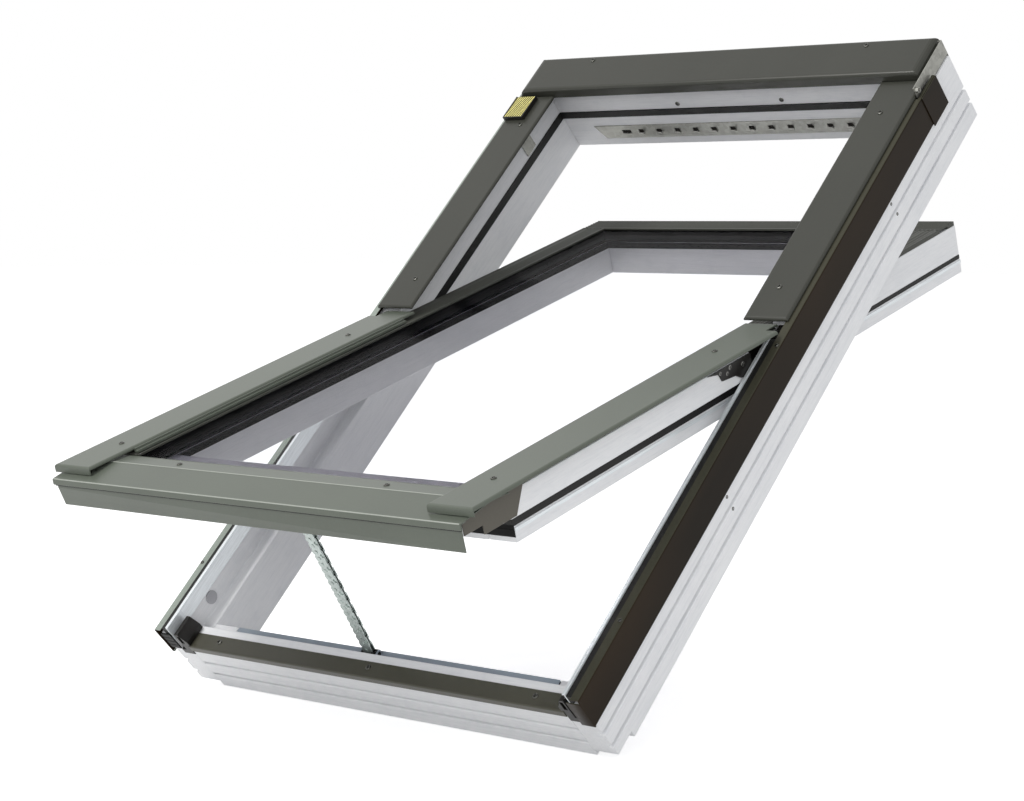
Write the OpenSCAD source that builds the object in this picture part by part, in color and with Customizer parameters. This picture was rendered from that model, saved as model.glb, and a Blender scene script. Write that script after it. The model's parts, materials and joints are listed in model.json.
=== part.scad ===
// Roof skylight with a centre-pivot sash and a chain drive.
// All members are drawn in the roof plane: X across, Y up the slope, Z outward from the roof.
// The place module then tilts the whole part to the roof pitch. Lengths are in millimetres.

/* [Placing] */
// Slope of the roof, degrees
roof_pitch = 45; // [15:1:75]
// Opening of the sash in the stored pose, degrees
open_angle = 27.8; // [10:0.1:32]

/* [Frame] */
// Outer width of the timber frame
frame_width = 780; // [660:10:1140]
// Outer length of the timber frame
frame_length = 1180; // [980:10:1400]
// Depth of the timber
frame_depth = 118; // [116:1:122]
// Thickness of a jamb
jamb_width = 40; // [36:1:46]
// Thickness of the head
head_width = 45; // [40:1:60]
// Thickness of the sill
sill_width = 55; // [54:1:60]
// Step from the top of the jambs down to the sill
sill_drop = 25; // [20:1:28]
// Width of the rebate in the lower half of a jamb
rebate_width = 22; // [20:1:24]
// Depth of the rebate below the top of the timber
rebate_depth = 43; // [40:1:46]
// Level of the lower groove round the outside
groove_low = 28; // [20:1:34]
// Level of the upper groove round the outside
groove_high = 54; // [46:1:62]
// Width of a groove
groove_width = 5; // [3:1:7]
// Depth of a groove
groove_depth = 6; // [3:1:8]
// Depth of the joints between members
tenon = 18; // [10:1:22]

/* [Pivot] */
// Pivot above the middle of the frame
pivot_y = 20; // [0:1:40]
// Pivot below the top of the timber
pivot_drop = 8; // [6:1:12]
// Radius of the pivot pin
pin_radius = 8; // [6:0.5:9]
// Radial clearance of the pin
pin_clearance = 0.1; // [0.05:0.05:0.3]

/* [Cladding] */
// Thickness of the folded sheet
sheet = 1.5; // [1:0.1:1.6]
// Radius of a fold
fold = 4; // [3:0.5:5]
// Width of a side cover
cover_width = 73; // [70:1:75]
// Rise of the side covers above the timber
cover_rise = 16; // [15:0.5:18]
// Depth of a cover's folded edge
cover_edge = 4.5; // [4:0.1:4.6]
// Lower end of the upper covers, up from the middle
cover_split = 43; // [42:1:60]
// Distance from the hood's end to the side of the frame
hood_inset = 10; // [8:1:14]
// Rise of the hood above the timber
hood_rise = 29; // [26:1:34]
// Length of the hood along the slope
hood_length = 78; // [70:1:90]
// Depth of the hood's lip
hood_lip = 19; // [14:1:20]
// Rise of the side flashings above the timber
flashing_rise = 10.7; // [9:0.1:10.8]
// Depth of the side flashings
flashing_depth = 51.3; // [40:0.1:54]
// Gap between a flashing and the timber
flashing_gap = 3; // [2:0.5:6]
// Radius of a screw head
screw_radius = 4; // [3:0.5:5]

/* [Sash] */
// Gap between sash and frame
sash_gap = 4; // [3.5:0.5:5]
// Width of a stile
stile_width = 46; // [44:1:56]
// Depth of the sash timber
sash_depth = 74; // [70:1:78]
// Reach of the shoulder on the lower half of a stile
shoulder = 18; // [12:1:18]
// Depth of the shoulder
shoulder_depth = 34; // [30:1:36]
// Height of the hanging apron
apron_height = 36; // [25:1:38]
// Reach of the bottom cover below the frame
bottom_reach = 58; // [50:1:66]

/* [Glazing] */
// Thickness of one pane
pane = 4; // [4:0.5:5]
// Space between the panes
cavity = 15; // [14:0.5:15]
// Cover of the timber over the edge of the glass
glass_edge = 20; // [15:1:21]

/* [Vent] */
// Number of notches in the vent strip
vent_slots = 12; // [6:1:14]
// Distance from the end of the strip to the first notch
vent_margin = 93; // [85:1:105]
// Height of the vent strip
vent_height = 27; // [24:1:32]

/* [Drive] */
// Distance from the drive's end to the jamb
drive_inset = 50; // [40:5:120]
// Depth of the drive housing
drive_depth = 34.5; // [32:0.5:36]
// Number of chain links
chain_links_count = 25; // [15:2:29]
// Width of the chain
chain_width = 18; // [12:1:20]
// Place of the chain across the window
chain_x = -28; // [-40:1:20]

/* [Hidden] */
half_width = frame_width / 2;
half_length = frame_length / 2;
origin_z = (groove_low + groove_high) / 2;
sill_height = frame_depth - sill_drop;
ledge_level = frame_depth - rebate_depth;
pivot_z = frame_depth - pivot_drop;
cover_top = frame_depth + cover_rise;
hood_top = frame_depth + hood_rise;
flashing_top = frame_depth + flashing_rise;
sash_low = frame_depth - sash_depth;
shoulder_level = frame_depth - shoulder_depth;
seal_height = 13;
jamb_in = half_width - jamb_width;
rebate_in = jamb_in + rebate_width;
head_in = half_length - head_width;
sill_in = sill_width - half_length;
sill_step = sill_in - 18;
arris = 2;
rebate_end = pivot_y + 30;
over = 1;
joint_clearance = 0.2;
vent_level = (ledge_level - seal_height - vent_height) / 2 - 2;
vent_pocket = 9;
sensor = 50;
sensor_across = 42;
sash_half = jamb_in - sash_gap;
sash_top_y = head_in - sash_gap;
sash_in = sash_half - stile_width;
sash_bottom_y = sill_in + 6;
body_bottom_y = sill_step + sash_gap;
top_in_y = sash_top_y - 41;
rail_in_y = body_bottom_y + 59;
pocket_y = body_bottom_y + 22;
gasket = 5;
gasket_low = sash_low + 22;
upper_gasket = 6;
seal_width = 9;
plate = 2;
glass_floor = frame_depth - 20.5;
seal = 1;
glass_low = glass_floor + seal;
glass_top = glass_low + 2 * pane + cavity;
glass_half = sash_in + glass_edge;
glass_up_y = top_in_y + glass_edge - 2;
glass_down_y = body_bottom_y - 26;
trim_top = glass_top + 3;
cover_low = cover_top - cover_edge;
cover_out = half_width - 4.5;
cover_in = cover_out - cover_width;
hood_half = half_width - hood_inset;
hood_low_y = half_length + 9 - hood_length;
flashing_out = half_width + flashing_gap + sheet;
flashing_low = flashing_top - flashing_depth;
flashing_up_y = half_length - 55;
bracket_x = half_width - 3.25;
bracket_y = flashing_up_y - 48;
shoulder_out = sash_half + shoulder;
shoulder_top_y = pivot_y - 56;
lip_y = -half_length - bottom_reach;
lip_z = cover_low - 9.5;
bend_y = -half_length + 28;
bend_z = glass_top + sheet / 2 + 1.6;
crease_y = -half_length + 2;
crease_z = cover_low - 3.6;
crease_slope = atan2(crease_z - bend_z, bend_y - crease_y);
chain_shut = 12;
chain_y = sill_step + 9;
chain_z = ledge_level + 5;
joint_z = chain_z + chain_shut;
open_y = pivot_y + (chain_y - pivot_y) * cos(open_angle) + (joint_z - pivot_z) * sin(open_angle);
open_z = pivot_z - (chain_y - pivot_y) * sin(open_angle) + (joint_z - pivot_z) * cos(open_angle);
chain_reach = norm([open_y - chain_y, open_z - chain_z]);
chain_lean = atan2(open_y - chain_y, open_z - chain_z);
chain_pin_radius = 2;
run_clearance = 0.3;
guide_half = 14;
trunnion = 3;
ear = 3;
link_pin = 8.4;
link_radius = chain_width * 0.4;
chain_pitch = (chain_reach - chain_shut - 2 * link_radius - 0.2) / (chain_links_count - 1);
drive_half = jamb_in - drive_inset;
drive_top = ledge_level + 0.5;
drive_low = 18;
drive_wall = 2;
drive_back = sill_in - drive_depth;

// Profile helpers: a folded sheet is drawn from the line of its middle.
function unit(v) = v / norm(v);
function bend(a, b, c, r, n) =
    let (u = unit(a - b), v = unit(c - b), half = acos(u * v) / 2,
        mid = b + unit(u + v) * r / sin(half), s = b + u * r / tan(half) - mid,
        e = b + v * r / tan(half) - mid, a0 = atan2(s[1], s[0]),
        d = atan2(s[0] * e[1] - s[1] * e[0], s * e))
    [for (k = [0 : n]) mid + r * [cos(a0 + d * k / n), sin(a0 + d * k / n)]];
function folded(p, r, n = 5) = concat([p[0]],
    [for (i = [1 : len(p) - 2]) each bend(p[i - 1], p[i], p[i + 1], r, n)], [p[len(p) - 1]]);
function normal(v) = [-v[1], v[0]] / norm(v);
function along(p, i) = i == 0 ? normal(p[1] - p[0])
    : i == len(p) - 1 ? normal(p[i] - p[i - 1])
    : let (a = normal(p[i] - p[i - 1]), b = normal(p[i + 1] - p[i])) (a + b) / (1 + a * b);
function edge(p, t) = [for (i = [0 : len(p) - 1]) p[i] + along(p, i) * t];
function turned(p) = [for (i = [len(p) - 1 : -1 : 0]) p[i]];

module strip(p, t = sheet) {
    polygon(concat(edge(p, t / 2), turned(edge(p, -t / 2))));
}

// A box outline whose upper corners are rounded.
module crowned(a0, a1, z0, z1, r) {
    polygon(concat([[a0, z0]], bend([a0, z0], [a0, z1], [a1, z1], r, 5),
        bend([a0, z1], [a1, z1], [a1, z0], r, 5), [[a1, z0]]));
}

module along_x(x0, x1) {
    translate([x0, 0, 0])
        rotate([90, 0, 90])
            linear_extrude(x1 - x0)
                children();
}

module along_y(y0, y1) {
    translate([0, y1, 0])
        rotate([90, 0, 0])
            linear_extrude(y1 - y0)
                children();
}

module block(x0, x1, y0, y1, z0, z1) {
    translate([x0, y0, z0])
        cube([x1 - x0, y1 - y0, z1 - z0]);
}

// A cap of folded sheet, open below, with rounded folds on all four sides.
module cap_body(x0, x1, y0, y1, z0, z1, r, side) {
    intersection() {
        along_x(x0, x1)
            crowned(y0, y1, z0, z1, r);
        along_y(y0, y1)
            crowned(x0, x1, z0, z1, side);
    }
}

module cap(x0, x1, y0, y1, z0, z1, r, side = 0) {
    across = max(r, side);
    inner = 0.5 - sheet;
    difference() {
        cap_body(x0, x1, y0, y1, z0, z1, r, across);
        cap_body(x0 + sheet, x1 - sheet, y0 + sheet, y1 - sheet, z0 - 1, z1 - sheet,
            r + inner, across + inner);
    }
}

module place() {
    rotate([roof_pitch, 0, 0])
        translate([0, half_length, -origin_z])
            children();
}

module swing() {
    translate([0, pivot_y, pivot_z])
        rotate([-open_angle, 0, 0])
            translate([0, -pivot_y, -pivot_z])
                children();
}

module lean() {
    translate([chain_x, chain_y, chain_z])
        rotate([-chain_lean, 0, 0])
            children();
}

module left_side() {
    mirror([1, 0, 0])
        children();
}

// Frame members
module grooves_across(y0, y1) {
    for (g = [groove_low, groove_high])
        block(-half_width, half_width, y0, y1, g - groove_width / 2, g + groove_width / 2);
}

module rail_tenons(y0, y1, x, z0, z1, extra) {
    block(-x - tenon - extra, x + tenon + extra, y0 - extra, y1 + extra, z0 - extra, z1 + extra);
}

module head_tenons(extra = 0) {
    rail_tenons(head_in + 12, half_length - 14, jamb_in, 30, frame_depth - 26, extra);
}

module sill_tenons(extra = 0) {
    rail_tenons(-half_length + 8, -half_length + 18, jamb_in, 32, ledge_level - 8, extra);
}

module frame_head() {
    color("white")
        difference() {
            union() {
                block(-jamb_in, jamb_in, head_in, half_length, 0, frame_depth);
                head_tenons();
            }
            grooves_across(half_length - groove_depth, half_length + over);
            block(50 - sash_in, sash_in - 50, head_in - over, head_in + vent_pocket,
                vent_level + vent_height / 2 - 6, vent_level + vent_height / 2 + 6);
        }
}

module frame_sill() {
    color("white")
        difference() {
            union() {
                along_x(-jamb_in, jamb_in)
                    polygon([[-half_length, 0], [sill_in, 0], [sill_in, ledge_level],
                        [sill_step, ledge_level], [sill_step, sill_height],
                        [-half_length + arris, sill_height], [-half_length, sill_height - arris]]);
                sill_tenons();
            }
            grooves_across(-half_length - over, -half_length + groove_depth);
            block(-drive_half - 2, drive_half + 2, drive_back - 0.5, sill_in + over,
                drive_low, drive_top + over);
        }
}

module jamb() {
    difference() {
        union() {
            along_y(-half_length, rebate_end)
                polygon([[jamb_in, 0], [half_width, 0], [half_width, frame_depth],
                    [rebate_in + 10, frame_depth], [rebate_in, frame_depth - 8],
                    [rebate_in, ledge_level], [jamb_in, ledge_level]]);
            along_y(rebate_end, half_length)
                translate([jamb_in, 0])
                    square([jamb_width, frame_depth]);
        }
        for (g = [groove_low, groove_high])
            block(half_width - groove_depth, half_width + 1, -half_length - 1, half_length + 1,
                g - groove_width / 2, g + groove_width / 2);
        block(jamb_in - 1, half_width + 1, -half_length - 1, -half_length + 36, -1, 10);
        head_tenons(joint_clearance);
        sill_tenons(joint_clearance);
    }
}

module frame_right_jamb() {
    color("white")
        jamb();
}

module frame_left_jamb() {
    color("white")
        left_side()
            jamb();
}

module frame_gasket() {
    color("black")
        difference() {
            block(-jamb_in, jamb_in, rebate_end + 4, head_in, ledge_level - seal_height, ledge_level);
            block(-jamb_in + 2, jamb_in - 2, rebate_end, head_in - 2, ledge_level - seal_height - over, ledge_level + over);
        }
}

// Frame cladding
module head_hood() {
    color("gray")
        cap(-hood_half, hood_half, hood_low_y, hood_low_y + hood_length,
            hood_top - hood_lip, hood_top, 1.5 * fold, 3 * fold);
}

module upper_cover() {
    cap(cover_in, cover_out, cover_split, hood_low_y - 0.5, cover_low, cover_top, fold);
}

module right_upper_cover() {
    color("gray")
        upper_cover();
}

module left_upper_cover() {
    color("gray")
        left_side()
            upper_cover();
}

module flashing() {
    m = sheet / 2;
    line = [[rebate_in + seal_width, flashing_top - m], [flashing_out - m, flashing_top - m],
        [flashing_out - m, flashing_low + m], [half_width + 0.3, flashing_low + m]];
    short = [[flashing_out - 5, flashing_top - m], line[1], line[2], line[3]];
    along_y(-half_length - 4, flashing_up_y - 51)
        strip(folded(line, 1.6, 4));
    along_y(flashing_up_y - 51, flashing_up_y)
        strip(folded(short, 1.6, 4));
    along_y(flashing_up_y - 50, flashing_up_y)
        translate([sheet, 0])
            strip([[flashing_out - m, flashing_top - 1], [flashing_out - m, flashing_low - 2]]);
}

module right_flashing() {
    color("saddlebrown") {
        flashing();
        block(rebate_in + 0.5, flashing_out, -half_length - 4 - sheet, -half_length - 4,
            flashing_low, flashing_top - 6);
    }
}

module left_flashing() {
    color("saddlebrown")
        left_side()
            flashing();
}

module bracket(top) {
    foot = frame_depth + sheet / 2;
    along_y(bracket_y, half_length + 2)
        strip(folded([[bracket_x - 12, foot], [bracket_x, foot], [bracket_x, top]], 2, 3));
    block(bracket_x - 3.2, bracket_x + sheet / 2, half_length + 0.5, half_length + 0.5 + sheet,
        frame_depth - 10, top);
    block(hood_half + over, bracket_x + sheet / 2, half_length + 0.5, half_length + 0.5 + sheet,
        top - 11, top - sheet);
}

module bracket_curl() {
    translate([bracket_x + sheet / 2, bracket_y + 5, hood_top - 8])
        rotate([0, 90, 0])
            difference() {
                cylinder(h = 5, r = 4, $fn = 24);
                translate([0, 0, -1])
                    cylinder(h = 7, r = 2.8, $fn = 24);
            }
}

module right_bracket() {
    color("silver") {
        bracket(hood_top - sheet);
        bracket_curl();
    }
}

module left_bracket() {
    color("silver")
        left_side()
            bracket(cover_top - sheet);
}

module jamb_strip() {
    along_y(-half_length + 35, pivot_y - 8)
        polygon([[rebate_in - 2.2, frame_depth - 13], [rebate_in, frame_depth - 13],
            [rebate_in, cover_top - 3], [rebate_in - 5.2, cover_top - 3],
            [rebate_in - 5.2, cover_top - 4.5], [rebate_in - 2.2, cover_top - 4.5]]);
}

module right_strip() {
    color("lightgray")
        jamb_strip();
}

module left_strip() {
    color("lightgray")
        left_side()
            jamb_strip();
}

module strip_seal() {
    edge = rebate_in + seal_width - joint_clearance;
    outer = rebate_in + seal_width + 0.5;
    along_y(-half_length + 35, pivot_y - 8)
        polygon([[rebate_in, frame_depth - 8], [outer, frame_depth - 0.4],
            [outer, flashing_top - sheet], [edge, flashing_top - sheet],
            [edge, flashing_top - joint_clearance], [rebate_in, flashing_top - joint_clearance]]);
}

module right_strip_seal() {
    color("black")
        strip_seal();
}

module left_strip_seal() {
    color("black")
        left_side()
            strip_seal();
}

module corner_block() {
    side = shoulder_out - 1.5;
    low = shoulder_level;
    base = sill_height + sheet + 0.3;
    difference() {
        along_y(-half_length - 1, -half_length + 34)
            polygon([[sash_half, base], [sash_half, base + 8], [jamb_in + 6, frame_depth],
                [side, frame_depth], [side, low], [rebate_in, low], [rebate_in, ledge_level],
                [jamb_in, ledge_level], [jamb_in, base]]);
        block(jamb_in + 4, side - 3, -half_length - 2, -half_length + 12, base + 4, frame_depth - 4);
    }
}

module right_corner_block() {
    color("black")
        corner_block();
}

module left_corner_block() {
    color("black")
        left_side()
            corner_block();
}

module sill_cover() {
    m = sheet / 2;
    front = -half_length - m - 0.2;
    color("gray")
        along_x(-jamb_in + 0.5, jamb_in - 0.5)
            strip(folded([[-half_length + 24, sill_height + m], [front, sill_height + m],
                [front, sill_height - 10]], 2, 4));
}

// Small fittings of the frame
module vent_strip() {
    x = sash_in - 5;
    pitch = 2 * (x - vent_margin) / (vent_slots - 1);
    slant = 14;
    slot = [10, 9];
    hole = [18, 8];
    color("gray")
        translate([0, head_in, vent_level])
            rotate([90, 0, 0])
                linear_extrude(sheet)
                    difference() {
                        polygon([[-x + slant, 0], [x - slant, 0], [x, vent_height], [-x, vent_height]]);
                        for (k = [0 : vent_slots - 1])
                            translate([vent_margin - x + k * pitch, vent_height / 2])
                                square(slot, center = true);
                        for (e = [-1, 1])
                            translate([e * (x - 63), vent_height / 2])
                                square(hole, center = true);
                    }
}

module sensor_base() {
    x = -cover_out + 1;
    y = hood_low_y - 8 - sensor;
    color("black")
        difference() {
            block(x, x + sensor_across, y, y + sensor, cover_top, cover_top + 7);
            block(x + 2, x + sensor_across - 2, y + 2, y + sensor + over, cover_top + 6, cover_top + 8);
        }
}

module sensor_grid() {
    bars = 12;
    side = sensor - 6;
    across = sensor_across - 6;
    pitch = (across + 2) / bars;
    thick = 0.8;
    color("gold")
        translate([-cover_out + 3, hood_low_y - sensor - 5.5, cover_top + 6]) {
            for (k = [0 : bars - 1])
                translate([k * pitch + 1, (k % 2) * 3, 0])
                    cube([pitch / 2, side, thick]);
            cube([across, pitch * 0.4, thick]);
            translate([1, side + 1, 0])
                cube([across - 1, pitch * 0.4, thick]);
        }
}

module striker_clip() {
    thick = 2;
    color("gray")
        translate([-jamb_in, head_in - 110, 0])
            difference() {
                block(0, thick, 0, 28, ledge_level + 4, frame_depth - 8);
                block(thick / 2, thick + over, 18, 28 + over, ledge_level, frame_depth);
            }
}

module jamb_plugs() {
    color("silver")
        for (s = [-1, 1])
            translate([s * (rebate_in - 1), -half_length + 87, ledge_level + 18])
                rotate([0, 90, 0])
                    cylinder(h = 2, r = 10, center = true, $fn = 32);
}

module frame_hinge() {
    face = rebate_in - 9;
    step = frame_depth - 14;
    difference() {
        union() {
            along_y(pivot_y - 50, pivot_y + 28)
                polygon([[face, ledge_level + 2], [rebate_in, ledge_level + 2], [rebate_in, step],
                    [rebate_in - 2.6, step], [rebate_in - 2.6, frame_depth - 1], [face, frame_depth - 1]]);
            translate([jamb_in + 1, pivot_y, pivot_z])
                rotate([0, 90, 0])
                    cylinder(h = rebate_width - 10, r = 2 * pin_radius, $fn = 48);
        }
        translate([jamb_in, pivot_y, pivot_z])
            rotate([0, 90, 0])
                cylinder(h = rebate_width - 4, r = pin_radius + pin_clearance, $fn = 48);
    }
    for (p = [[-40, -18], [-40, -30], [16, -26], [-14, -26]])
        translate([face - 1, pivot_y + p[0], pivot_z + p[1]])
            rotate([0, 90, 0])
                cylinder(h = 1.2, r = screw_radius, $fn = 20);
}

module right_frame_hinge() {
    color("black")
        frame_hinge();
}

module left_frame_hinge() {
    color("black")
        left_side()
            frame_hinge();
}

module both_sides() {
    children();
    left_side()
        children();
}

function span(a, b, n) = [for (k = [0 : n - 1]) a + (b - a) * k / (n - 1)];

module frame_clips() {
    color("black")
        both_sides() {
            for (y = span(cover_split + 25, hood_low_y - 50, 3)) {
                block(jamb_in + 2, jamb_in + 16, y - 9, y + 9, frame_depth, cover_top - sheet);
                block(half_width - 8, half_width - 1, y - 9, y + 9, frame_depth, flashing_top - sheet);
            }
            for (y = span(-half_length + 60, -20, 3))
                block(half_width - 8, half_width - 1, y - 9, y + 9, frame_depth, flashing_top - sheet);
            block(frame_width / 4 - 15, frame_width / 4 + 15, head_in + 12, half_length - 11,
                frame_depth, hood_top - sheet);
        }
}

module screw(x, y, z, r = screw_radius) {
    translate([x, y, z]) {
        cylinder(h = 1.2, r = r, $fn = 24);
        cylinder(h = 2, r = r * 0.7, $fn = 24);
    }
}

module frame_screws() {
    color("silver") {
        both_sides() {
            for (y = span(cover_split + 60, hood_low_y - 69, 2))
                screw(cover_in + 31, y, cover_top);
            for (y = span(-half_length + 121, pivot_y - 20, 2))
                screw(half_width - 1, y, flashing_top, 0.7 * screw_radius);
            screw(hood_half - 118, hood_low_y + hood_length - 12, hood_top);
            screw(jamb_in - 55, -half_length + 14, sill_height + sheet);
        }
        screw(0, -half_length + 14, sill_height + sheet);
        for (s = [-1, 1])
            translate([100 * s, head_in, ledge_level + 9])
                rotate([90, 0, 0])
                    cylinder(h = 1.5, r = screw_radius, $fn = 24);
    }
}

// Drive in the sill
module drive_housing() {
    slot = guide_half + run_clearance;
    top = trunnion + 1.5;
    color("silver")
        difference() {
            union() {
                block(-drive_half, drive_half, drive_back, sill_in, drive_low, drive_top);
                for (x = [chain_x - slot - ear, chain_x + slot])
                    block(x, x + ear, chain_y - top, chain_y + top, drive_top - over, chain_z + top);
            }
            translate([chain_x, chain_y, chain_z])
                rotate([0, 90, 0])
                    cylinder(h = 2 * slot + 3 * ear, r = trunnion + run_clearance, center = true, $fn = 32);
            block(-drive_half - over, drive_half + over, drive_back + drive_wall, sill_in + over,
                drive_low + drive_wall, drive_top - drive_wall);
            translate([chain_x, 0, 0])
                block(-slot, slot, chain_y - 8, chain_y + 7, drive_top - drive_wall - over, drive_top + over);
        }
}

module drive_cover() {
    color("silver")
        block(-drive_half + 1, drive_half - 1, sill_in - drive_wall, sill_in,
            drive_low + drive_wall, drive_top - drive_wall);
}

module drive_caps() {
    color("black")
        for (s = [-1, 1])
            translate([s * (drive_half - 1), 0, 0])
                block(-1, 1, drive_back + drive_wall, sill_in - drive_wall,
                    drive_low + drive_wall, drive_top - drive_wall);
}

module drive_motor() {
    motor = drive_depth / 2 - 3.5;
    gear = 70;
    color("dimgray")
        translate([chain_x, (drive_back + sill_in) / 2, 0]) {
            translate([gear, 0, drive_low + drive_wall + motor])
                rotate([0, 90, 0])
                    cylinder(h = 10 * motor, r = motor, $fn = 40);
            block(24, gear, -motor, motor, drive_low + drive_wall, drive_top - drive_wall);
        }
}

// Sash members, drawn shut
module sash_top_tenons(extra = 0) {
    rail_tenons(top_in_y + 8, top_in_y + 20, sash_in, sash_low + 14, sash_low + 40, extra);
}

module sash_bottom_tenons(extra = 0) {
    rail_tenons(sash_bottom_y + 8, sash_bottom_y + 20, sash_in, sash_low + 14, sash_low + 34, extra);
}

module sash_top_rail() {
    groove = top_in_y + glass_edge + 1;
    color("white")
        swing() {
            along_x(-sash_in, sash_in)
                polygon([[top_in_y, sash_low], [sash_top_y, sash_low], [sash_top_y, frame_depth],
                    [groove, frame_depth], [groove, glass_floor], [top_in_y, glass_floor]]);
            sash_top_tenons();
        }
}

module sash_bottom_rail() {
    color("white")
        swing()
            difference() {
                union() {
                    along_x(-sash_in, sash_in)
                        polygon([[sash_bottom_y, sash_low], [rail_in_y, sash_low],
                            [rail_in_y, glass_floor], [body_bottom_y, glass_floor],
                            [body_bottom_y, shoulder_level], [sash_bottom_y, shoulder_level]]);
                    sash_bottom_tenons();
                }
                translate([chain_x, 0, 0]) {
                    block(-24, 24, body_bottom_y - 1, pocket_y, sash_low - 1, glass_floor + 1);
                    block(-14, 14, pocket_y - 1, pocket_y + 7, sash_low - 1, joint_z - 12);
                }
            }
}

module stile() {
    groove = sash_in + glass_edge + 4;
    difference() {
        union() {
            along_y(sash_bottom_y, sash_top_y)
                polygon([[sash_in, sash_low], [sash_half, sash_low], [sash_half, frame_depth],
                    [groove, frame_depth], [groove, glass_floor], [sash_in, glass_floor]]);
            along_y(body_bottom_y, shoulder_top_y)
                polygon([[sash_in, shoulder_level], [shoulder_out, shoulder_level],
                    [shoulder_out, frame_depth], [groove, frame_depth], [groove, glass_floor],
                    [sash_in, glass_floor]]);
        }
        block(sash_half - gasket, sash_half + over, sash_bottom_y - over, rebate_end,
            gasket_low, shoulder_level);
        block(sash_half - gasket, sash_half + over, rebate_end - over, sash_top_y + over,
            gasket_low, gasket_low + upper_gasket);
        sash_top_tenons(joint_clearance);
        sash_bottom_tenons(joint_clearance);
    }
}

module sash_right_stile() {
    color("white")
        swing()
            stile();
}

module sash_left_stile() {
    color("white")
        swing()
            left_side()
                stile();
}

module glass_plate(z0, z1) {
    block(-glass_half, glass_half, glass_down_y, glass_up_y, z0, z1);
}

module glass_ring(w, z0, z1) {
    difference() {
        glass_plate(z0, z1);
        block(-glass_half + w, glass_half - w, glass_down_y + w, glass_up_y - w, z0 - 1, z1 + 1);
    }
}

module outer_pane() {
    color([0.8, 0.85, 0.85, 0.4])
        swing()
            glass_plate(glass_top - pane, glass_top);
}

module inner_pane() {
    color([0.8, 0.85, 0.85, 0.4])
        swing()
            glass_plate(glass_low, glass_low + pane);
}

module glass_spacer() {
    color("black")
        swing()
            glass_ring(14, glass_low + pane, glass_top - pane);
}

module glass_seal() {
    color("black")
        swing()
            intersection() {
                glass_ring(16, glass_floor, glass_low);
                block(-glass_half, glass_half, body_bottom_y, glass_up_y, 0, frame_depth);
            }
}

function ridged(a, b, n) = [for (k = [0 : 2 * n]) [a + (b - a) * k / (2 * n), trim_top - (k % 2) * 1.4]];

module side_trim() {
    foot = sash_in + glass_edge + 4.2;
    along_y(-half_length + 36, sash_top_y - 44)
        polygon(concat([[sash_in - 1, glass_top], [sash_in - 1, trim_top]],
            ridged(sash_in + 2, sash_half - 1, 6),
            [[sash_half - 1, frame_depth], [foot, frame_depth], [foot, glass_top]]));
}

module right_trim() {
    color("dimgray")
        swing()
            side_trim();
}

module left_trim() {
    color("dimgray")
        swing()
            left_side()
                side_trim();
}

module top_trim() {
    foot = top_in_y + glass_edge + 1.2;
    color("dimgray")
        swing()
            along_x(-sash_half + 1, sash_half - 1)
                polygon(concat([[top_in_y - 2.8, glass_top], [top_in_y - 2.8, trim_top]],
                    ridged(top_in_y, sash_top_y - 1, 6),
                    [[sash_top_y - 1, frame_depth], [foot, frame_depth], [foot, glass_top]]));
}

// Sash cladding
module sash_cover() {
    front = -half_length - 42;
    difference() {
        cap(cover_in - 1, cover_out, front, pivot_y + 14, cover_low, cover_top, fold);
        block(rebate_in - 6, cover_out + 1, pivot_y - 15, pivot_y + 15, cover_low - 2, cover_top + 1);
    }
    block(cover_in - 1, cover_out, front, front + sheet, cover_low - 6.5, cover_low + over);
}

module sash_right_cover() {
    color("gray")
        swing()
            sash_cover();
}

module sash_left_cover() {
    color("gray")
        swing()
            left_side()
                sash_cover();
}

module sash_bottom_cover() {
    m = sheet / 2;
    color("gray")
        swing()
            along_x(-half_width + 14, half_width - 14)
                strip(folded([[-half_length + 34, glass_top + m], [bend_y, bend_z], [crease_y, crease_z],
                    [lip_y + m, lip_z - m], [lip_y + m, lip_z - 9]], 1.8, 4));
}

module sash_apron() {
    y = lip_y + 4.4;
    top = lip_z - 2.4;
    low = lip_z - 4 - apron_height;
    color("gray")
        swing()
            intersection() {
                along_x(-half_width, half_width)
                    strip(folded([[y + 8, top + 0.8], [y, top], [y, lip_z - 14], [y + 3, low]], 1.6, 3));
                along_y(lip_y - 20, lip_y + 30)
                    polygon([[-half_width + 15, lip_z + 5], [half_width - 15, lip_z + 5],
                        [half_width - 21, low - 5], [-half_width + 21, low - 5]]);
            }
}

module end_plate() {
    x = shoulder_out;
    along_x(x, x + sheet)
        polygon([[-half_length + 72, glass_top - 0.5], [-half_length + 50, shoulder_level + 2],
            [-half_length - 10, shoulder_level + 2], [-half_length - 10, shoulder_level + 14],
            [lip_y + 14, shoulder_level + 14], [lip_y + 14, lip_z - 5],
            [-half_length - 4, glass_top - 0.5]]);
}

module right_end_plate() {
    color("saddlebrown")
        swing()
            end_plate();
}

module left_end_plate() {
    color("saddlebrown")
        swing()
            left_side()
                end_plate();
}

module sash_gaskets() {
    color("black")
        swing()
            both_sides() {
                block(sash_half - gasket, sash_half - 0.3, sash_bottom_y, rebate_end,
                    gasket_low, shoulder_level);
                block(sash_half - gasket, sash_half - 0.3, rebate_end - over, sash_top_y,
                    gasket_low, gasket_low + upper_gasket);
                block(sash_half - gasket, shoulder_out - over, body_bottom_y, sash_bottom_y,
                    ledge_level + 2, shoulder_level);
            }
}

module drip_strips() {
    color("lightgray")
        swing()
            both_sides()
                block(sash_half, sash_half + 1.2, sash_bottom_y, sash_top_y,
                    gasket_low - 7, gasket_low - 2);
}

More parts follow.
